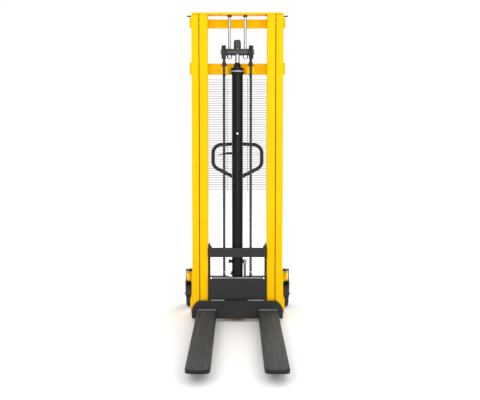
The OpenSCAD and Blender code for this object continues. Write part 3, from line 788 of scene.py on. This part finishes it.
def hose():
    """Hose held between the barrel's port and the pump, with a crimped ferrule at each end."""
    x, bend, z_low = 51 * MM, 40 * MM, 70 * MM
    top, end_y = 392 * MM, LOAD_FACE + 296 * MM
    path = [Vector((x, MAST_Y, top - (top - z_low - bend) * k / 6)) for k in range(7)]
    for k in range(1, 10):
        a = math.radians(10 * k)
        path.append(Vector((x, MAST_Y + bend * (1 - math.cos(a)), z_low + bend * (1 - math.sin(a)))))
    path += [Vector((x, MAST_Y + bend + (end_y - MAST_Y - bend) * k / 4, z_low)) for k in range(1, 5)]
    build = Build()
    tube(build, path, 8.3 * MM, HOSE, sides=20)
    crimp = mm((0, 8), (0, 10.2))
    for start in (3, 9, 15):
        crimp += mm((start, 10.6), (start + 2, 9.6), (start + 4, 10.6))
    crimp += mm((21, 10.2), (22, 8.2))
    lathe(build, path[0], -Z, crimp, ZINC, 28)
    lathe(build, path[-1], -Y, crimp, ZINC, 28)
    piece = build.piece("hose_with_ferrules", "chassis", "hose_rubber")
    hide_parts("hydraulic_hose")


mast_welds()
top_plate_details()
yoke_details()
cylinder_details()
barrel_ports()
hose()

# ---- Carriage ----


def carriage_welds():
    """Beads at the fork heels, over the frame plate and along the side plates. Those at the heels and over
    the frame plate are bare and light: real beads whose light colour is a painted highlight.
    """
    build = Build()
    heel, upper, plain, small = 2.6 * MM, 3.2 * MM, 2.4 * MM, 2.2 * MM
    for side in (-1, 1):
        # Painted highlight: the heel beads are bare and light, standing for the light lines along the fork
        # heels.
        start, end = [Vector((side * x * MM, LOAD_FACE - 1 * MM, FORK_TOP + 1 * MM)) for x in (148, 270)]
        weld(build, start, end, heel, BEAD)
        # Painted highlight: the beads over the frame plate are bare and light, and reach unevenly left and
        # right to where the light lines fall.
        inner = 90 if side < 0 else 72
        weld(build, at(side * inner, 9, 150), at(side * 179, 9, 150), upper, BEAD)
        weld(build, at(side * 185, 19.5, 156), at(side * 185, 19.5, 294), plain, CHARCOAL)
        for z in (444.5, 509.5):
            weld(build, at(side * 187, 16, z), at(side * 197, 16, z), small, CHARCOAL)
    build.piece("carriage_welds", "carriage", "bare_steel", smooth=60)


def carriage_details():
    """Gussets on the top bar, a dark bar of painted shade behind the gap under the apron, a bare light strip
    along the apron's flange as a painted highlight, screws, nipples and pin bolts.
    """
    build = Build()
    # Painted shade: a dark bar behind the gap between the frame plate and the apron, standing for the shade
    # in that gap and hiding the tie behind it.
    bar(build, at(-90, 12.5, 134), at(90, 19, 158), BLACK)
    # Painted highlight: a bare light strip along the apron's flange, standing for the light along its top
    # edge.
    tube(build, [at(x, 21, 301.5) for x in (-172, -170, 170, 172)], 3.6 * MM, BEAD, sides=12)
    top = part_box("carriage_plate_right")[1].z
    nipple = mm((0, 5), (4, 5), (5, 3), (8, 3), (10, 4.4), (13, 4.0), (15, 1.5), (15, 0))
    gusset = [(186, 509), (186, 524), (183, 524), (173, 512), (173, 509)]
    for side in (-1, 1):
        cap_screw(build, at(side * 179, 20, 300), -Y, 6.5 * MM, BRIGHT)
        loft(build, [[at(side * x, y, z) for x, z in gusset] for y in (15, 21)], CHARCOAL)
        lathe(build, Vector((side * 190 * MM, LOAD_FACE + 70 * MM, top)), Z, nipple, STEEL, 20)
        for z in (125 * MM, 505 * MM):
            bolt(build, Vector((side * 186 * MM, MAST_Y, z)), X * -side, 17 * MM, ZINC)
    build.piece("carriage_fasteners", "carriage", "zinc_plate")


carriage_welds()
carriage_details()

# ---- Base, pump and tiller ----


def base_details():
    """Screws of the guards and the pump, bolts of the cross beam, tiller pin's rings, ram's seal."""
    build = Build()
    for side in (-1, 1):
        for y in (250, 269):
            cap_screw(build, at(side * 335, y, 312), Z, 5.5 * MM, BLACK)
        for x in (150, 235):
            bolt(build, at(side * x, 265, 66), Y, 16 * MM, ZINC)
        retainer = mm((0, 8.5), (0, 14), (1.8, 14), (2.2, 13), (2.2, 8.5))
        lathe(build, PIVOT + X * side * 34 * MM, X * side, retainer, ZINC, 28)
        pin = PIVOT + X * side * 36.8 * MM
        tube(build, [pin - Z * 12 * MM, pin, pin + Z * 10 * MM], 0.9 * MM, ZINC, sides=8)
    for x in (-40, 58):
        for y in (320, 392):
            cap_screw(build, at(x, y, 92), Z, 6 * MM, ZINC)
    seal = mm((0, 25), (0, 27.5), (6, 27.5), (8, 25), (8, 13), (10, 12.6), (10, 11.4))
    lathe(build, at(0, 440, 204), Z, seal, ZINC, 36)
    build.piece("base_fasteners", "chassis", "zinc_plate")


def tank_details():
    """Seams round the oil tank and its ribbed filler cap."""
    build = Build()
    for z in (94, 194):
        tube(build, ring(at(0, 345, z), X, Y, 33 * MM, 48), 1.8 * MM, BLACK, sides=8, closed=True)
    cap = at(16, 345, 204)
    lathe(build, cap, Z, mm((0, 9), (0, 12), (7, 12), (9, 10.5), (9.5, 0)), TREAD, 28)
    for rib in ring(cap, X, Y, 12 * MM, 14):
        tube(build, [rib, rib + Z * 6.5 * MM], 0.9 * MM, TREAD, sides=6)
    build.piece("tank_fittings", "chassis", "black_paint")


LEANED = Matrix.Rotation(-LEAN, 3, "X")


def on_tiller(x, y, z):
    """A place given in the upright tiller's own axes, from its pivot."""
    return PIVOT + LEANED @ Vector((x, y, z))


def tiller_details():
    """Weld rings and socket of the drawbar, and the release lever's pivot bolt."""
    build = Build()
    back, up = LEANED @ Y, LEANED @ Z
    for z, radius in ((661, 17.5), (688, 17.2), (922, 17.2)):
        circle = ring(on_tiller(0, 0, z * MM), X, back, radius * MM, 32)
        tube(build, circle, 2.2 * MM, BLACK, sides=8, closed=True, wave=0.12, wave_length=6 * MM)
    lathe(build, on_tiller(0, 0, 14 * MM), up, mm((0, 17), (0, 21), (24, 21), (28, 17)), BLACK, 36)
    bolt(build, on_tiller(0, -30 * MM, 860 * MM), -back, 9 * MM, ZINC)
    build.piece("tiller_welds", "tiller", "black_paint", smooth=50)


def curved_lever():
    """Release lever: a flat finger that thins and droops towards its tip, on a round hub."""
    build = Build()
    spine = [(-6, 860.0, 10.0), (-20, 861.5, 9.2), (-45, 862.5, 7.6), (-70, 862.0, 6.6), (-95, 859.5, 5.6),
             (-115, 855.5, 4.6), (-132, 850.0, 3.6), (-143, 845.5, 2.4)]
    middle_y, half_y = -24 * MM, 4 * MM
    sections = []
    for x, z, half in spine:
        section = []
        for k in range(16):
            a = 2 * math.pi * k / 16
            across_y = math.copysign(abs(math.cos(a)) ** 0.6, math.cos(a)) * half_y
            across_z = math.copysign(abs(math.sin(a)) ** 0.6, math.sin(a)) * half * MM
            section.append(on_tiller(x * MM, middle_y + across_y, z * MM + across_z))
        sections.append(section)
    loft(build, sections, BLACK)
    hub = mm((0, 6), (0, 11), (9, 11), (10, 10), (10, 6))
    lathe(build, on_tiller(0, -18.5 * MM, 860 * MM), LEANED @ -Y, hub, BLACK, 32)
    piece = build.piece("curved_lever", "release_lever", "black_paint", smooth=50)
    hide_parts("release_lever")


base_details()
tank_details()
tiller_details()
curved_lever()

# ---- Casters ----

CASTER_X = 352 * MM
AXLE = Vector((0, LOAD_FACE + 445 * MM, 90 * MM))


def caster_details(side, label):
    """Hub faces with ribs, axle and stem nuts, and the ribs of the pedal."""
    middle_x = side * CASTER_X
    hub = Build()
    for face in (-1, 1):
        out = X * face
        centre = Vector((middle_x, AXLE.y, AXLE.z)) + out * 13.5 * MM
        lathe(hub, centre, out, mm((0, 24), (1.5, 25), (1.5, 66), (0, 67)), HUB, 48)
        lathe(hub, centre, out, mm((0, 9), (9, 9), (9.4, 21), (8, 22.5), (0, 23.5)), HUB, 40)
        for k in range(6):
            a = 2 * math.pi * k / 6
            spoke = Vector((0, math.cos(a), math.sin(a)))
            foot = centre + out * 1 * MM
            side_way = spoke.cross(out)
            ends = []
            for r, half, rise in ((21 * MM, 3.2 * MM, 6.5 * MM), (66 * MM, 2.4 * MM, 4.5 * MM)):
                base = foot + spoke * r
                ends.append([base - side_way * half, base - side_way * half * 0.6 + out * rise,
                             base + side_way * half * 0.6 + out * rise, base + side_way * half])
            loft(hub, ends, HUB)
    hub.piece("caster_hub_" + label, "caster_wheel_" + label, "nylon")

    nuts = Build()
    for face in (-1, 1):
        inward = face * side < 0
        reach = 31 * MM if inward else 33 * MM
        foot = Vector((middle_x + face * reach, AXLE.y, AXLE.z))
        bolt(nuts, foot, X * face, 17 * MM, ZINC, washer=inward)
    stem = Vector((middle_x, LOAD_FACE + 410 * MM, 262 * MM))
    hex_head(nuts, stem, Z, 22 * MM, 9 * MM, ZINC)
    lathe(nuts, stem + Z * 8 * MM, Z, mm((0, 7), (4, 7), (5, 6), (5, 0)), ZINC, 20)
    nuts.piece("caster_nuts_" + label, "caster_fork_" + label, "zinc_plate")

    ribs = Build()
    for k in range(4):
        y = LOAD_FACE + (509 + 6 * k) * MM
        z = (189.6 + 1.55 * k) * MM
        ends = [Vector((middle_x + reach, y, z)) for reach in (-18 * MM, 18 * MM)]
        tube(ribs, ends, 1.3 * MM, BLACK, sides=8)
    ribs.piece("pedal_ribs_" + label, "brake_pedal_" + label, "black_paint")


caster_details(-1, "left")
caster_details(1, "right")

# ---- Floor, lights and camera ----


def floor():
    """Pale floor, a little mottled near the truck and plain white further off."""
    size = 60
    mesh = bpy.data.meshes.new("floor")
    corners = [(-size, -size, 0), (size, -size, 0), (size, size, 0), (-size, size, 0)]
    mesh.from_pydata(corners, [], [(0, 1, 2, 3)])
    s = Shader("floor_paint", roughness=0.8, specular=0.0)
    far = s.tree.nodes.new("ShaderNodeVectorMath")
    far.operation = "LENGTH"
    s.link(s.place, far.inputs[0])
    near = s.mix(s.noise(0.8, 3), (0.95, 0.95, 0.95), (0.92, 0.92, 0.92))
    s.colour(s.mix(s.level(far.outputs["Value"], 1.5, 4.0), near, (1.0, 1.0, 1.0)))
    mesh.materials.append(s.material)
    piece = bpy.data.objects.new("floor", mesh)
    scene.collection.objects.link(piece)


def area_light(name, place, target, size, power):
    data = bpy.data.lights.new(name, "AREA")
    data.shape = "RECTANGLE"
    data.size, data.size_y = size
    data.energy = power
    light = bpy.data.objects.new(name, data)
    light.location = place
    light.rotation_euler = (Vector(target) - Vector(place)).to_track_quat("-Z", "Y").to_euler()
    scene.collection.objects.link(light)


def studio():
    """White surroundings with four soft lights."""
    world = bpy.data.worlds.new("studio")
    scene.world = world
    world.use_nodes = True
    background = world.node_tree.nodes["Background"]
    background.inputs["Color"].default_value = (1, 1, 1, 1)
    background.inputs["Strength"].default_value = 1.02
    area_light("key", (-2.2, -4.6, 3.6), (0, 0.3, 1.0), (2.4, 2.4), 65)
    area_light("fill", (2.8, -4.0, 2.2), (0, 0.3, 1.0), (2.4, 2.4), 40)
    area_light("strip", (0.45, -6.2, 1.5), (0, 0.3, 1.1), (0.5, 2.8), 55)
    area_light("rear", (2.0, 4.5, 3.4), (0, 0.5, 1.0), (2.4, 2.4), 80)
    scene.view_settings.view_transform = "Standard"


def camera():
    """Camera in front of the fork tips, a little above half the mast's height and looking slightly down."""
    data = bpy.data.cameras.new("camera")
    data.lens = 52.134
    data.sensor_width = 36
    data.shift_x = 0.0054
    data.shift_y = -0.0667
    eye = bpy.data.objects.new("camera", data)
    eye.location = (0, -4.347, 1.3604)
    eye.rotation_euler = (math.radians(90 - 3.772), 0, 0)
    scene.collection.objects.link(eye)
    scene.camera = eye


floor()
studio()
camera()
